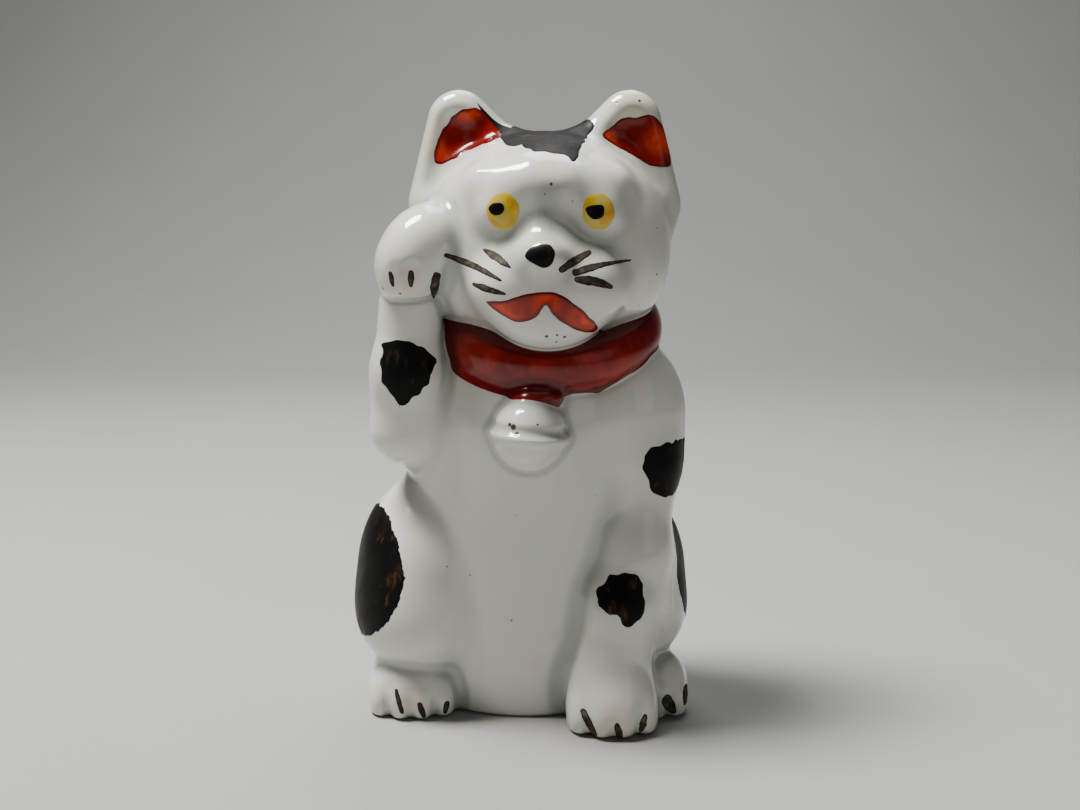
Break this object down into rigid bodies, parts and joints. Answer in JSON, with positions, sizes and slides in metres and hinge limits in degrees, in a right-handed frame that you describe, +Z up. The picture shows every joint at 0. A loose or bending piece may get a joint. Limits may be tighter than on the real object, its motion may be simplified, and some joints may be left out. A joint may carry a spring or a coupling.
{
  "type": "beckoning cat figurine",
  "caption": "Hollow glazed porcelain cat sitting upright with its right paw raised to its cheek, wearing a red collar and bell.",
  "frame": {"origin": "on the flat foot face of the base, on the torso's centreline, beside the vent hole", "axes": "+Z up, -Y the way the cat faces, +X towards the cat's left side"},
  "size_m": [0.0556, 0.0457, 0.0994],
  "materials": {
    "porcelain": "clear gloss glaze over white porcelain",
    "bisque": "unglazed, slightly soiled",
    "red_enamel": "gloss iron-red overglaze enamel",
    "yellow_enamel": "gloss yellow overglaze enamel",
    "black_enamel": "gloss black overglaze enamel with brown streaks",
    "brown_enamel": "thin grey-brown overglaze brush line"
  },
  "bodies": {
    "root": {"torso_front_shell": "porcelain", "torso_back_shell": "porcelain", "head_front_shell": "porcelain", "head_back_shell": "porcelain", "right_ear": "porcelain", "left_ear": "porcelain", "bell": "porcelain", "raised_foreleg": "porcelain", "standing_foreleg": "porcelain", "right_haunch": "porcelain", "left_haunch": "porcelain", "right_hind_paw": "porcelain", "left_hind_paw": "porcelain", "tail": "porcelain", "base_slab": "bisque", "collar_band": "red_enamel", "collar_lug": "red_enamel", "mouth_enamel": "red_enamel", "right_ear_lining": "red_enamel", "left_ear_lining": "red_enamel", "right_iris": "yellow_enamel", "left_iris": "yellow_enamel", "right_pupil": "black_enamel", "left_pupil": "black_enamel", "nose_enamel": "black_enamel", "crown_patch": "black_enamel", "raised_foreleg_patch": "black_enamel", "shoulder_patch": "black_enamel", "standing_foreleg_patch": "black_enamel", "right_thigh_patch": "black_enamel", "left_thigh_patch": "black_enamel", "back_patch": "black_enamel", "tail_patch": "black_enamel", "right_whiskers": "brown_enamel", "left_whiskers": "brown_enamel", "raised_paw_claws": "brown_enamel", "standing_paw_claws": "brown_enamel", "right_hind_paw_claws": "brown_enamel", "left_hind_paw_claws": "brown_enamel"}
  },
  "joints": []
}
